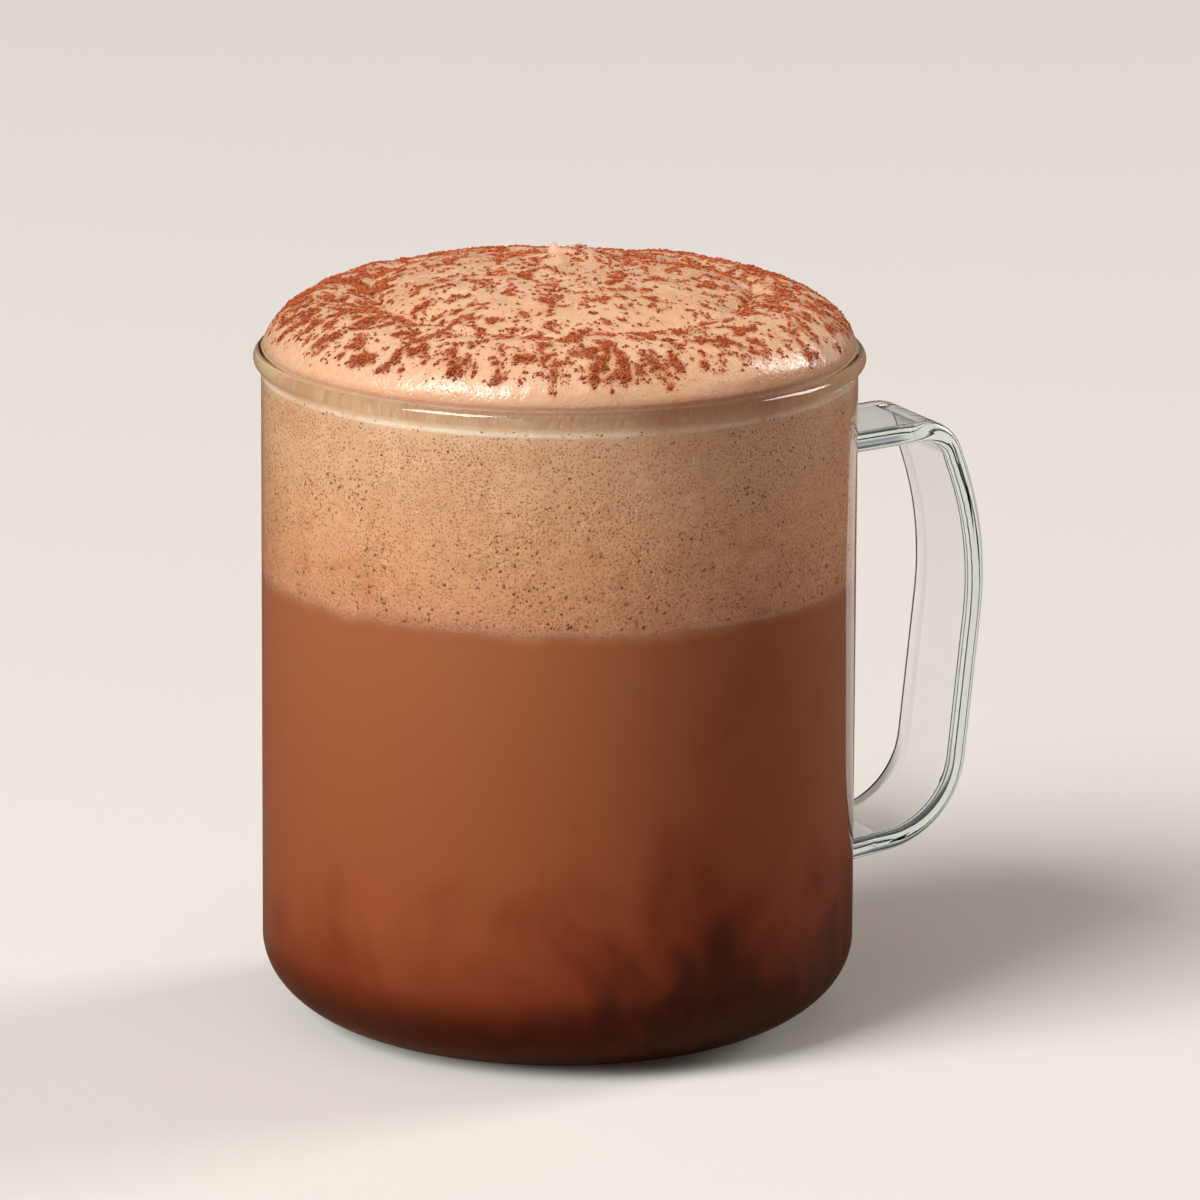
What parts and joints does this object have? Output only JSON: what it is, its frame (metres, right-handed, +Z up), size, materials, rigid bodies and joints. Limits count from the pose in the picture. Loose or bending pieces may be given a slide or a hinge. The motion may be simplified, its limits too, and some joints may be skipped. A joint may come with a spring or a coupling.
{
  "type": "hot chocolate",
  "caption": "Hot chocolate in a straight clear glass mug with a strap handle, topped by a dome of milk foam dusted with cocoa",
  "frame": {"origin": "on the mug's upright axis, at the level of the flat ring it stands on", "axes": "+Z up out of the mug, +X towards the handle, +Y across the handle"},
  "size_m": [0.1095, 0.0882, 0.113],
  "materials": {
    "mug": "clear smooth borosilicate glass, fire-polished rim",
    "drink": "opaque milky brown liquid, darker towards the bottom where the syrup settles",
    "foam": "moist fine-pored milk foam, light tan",
    "cocoa": "dry reddish-brown cocoa powder in small clumps"
  },
  "bodies": {
    "root": {"mug": "mug", "drink": "drink", "foam": "foam"}
  },
  "joints": []
}
